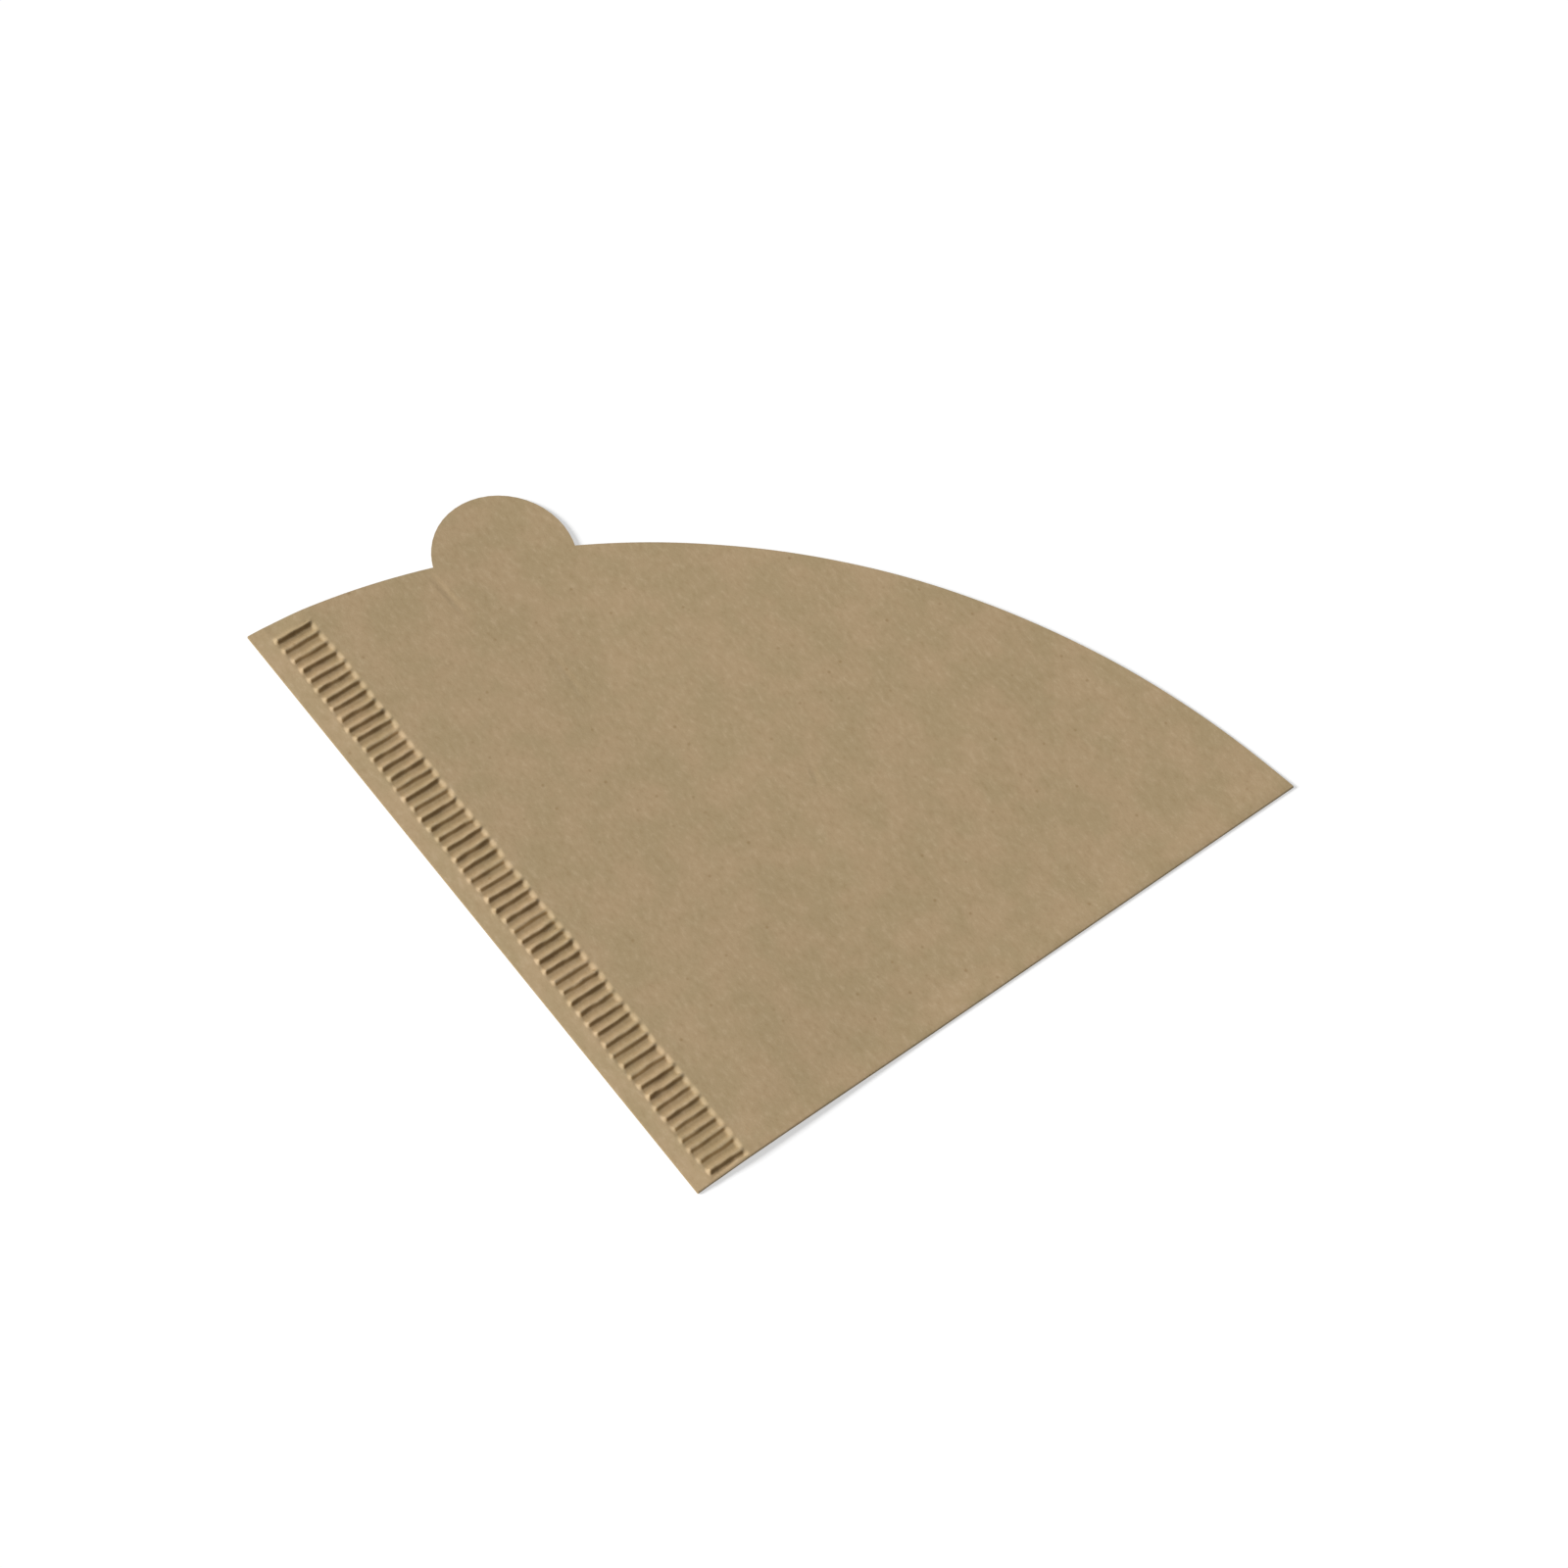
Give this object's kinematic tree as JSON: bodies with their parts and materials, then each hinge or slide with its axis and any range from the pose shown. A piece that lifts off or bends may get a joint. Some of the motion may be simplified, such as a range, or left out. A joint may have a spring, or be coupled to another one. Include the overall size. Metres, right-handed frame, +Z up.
{
  "type": "cone paper coffee filter",
  "caption": "Unbleached cone paper coffee filter folded flat, with a crimped seam along one side, a folded edge along the other, an open curved mouth and a round pull tab.",
  "frame": {"origin": "centre of the footprint, on the surface that the flat filter lies on", "axes": "+Z up through both plies; +Y from the cone's tip towards the curved mouth; +X from the crimped seam's end of the mouth towards the fold's end"},
  "size_m": [0.1832, 0.1248, 0.0013],
  "materials": {
    "filter_paper": "uncoated, unbleached, matte, finely fibrous"
  },
  "bodies": {
    "root": {"folded_filter_sheet": "filter_paper"}
  },
  "joints": []
}
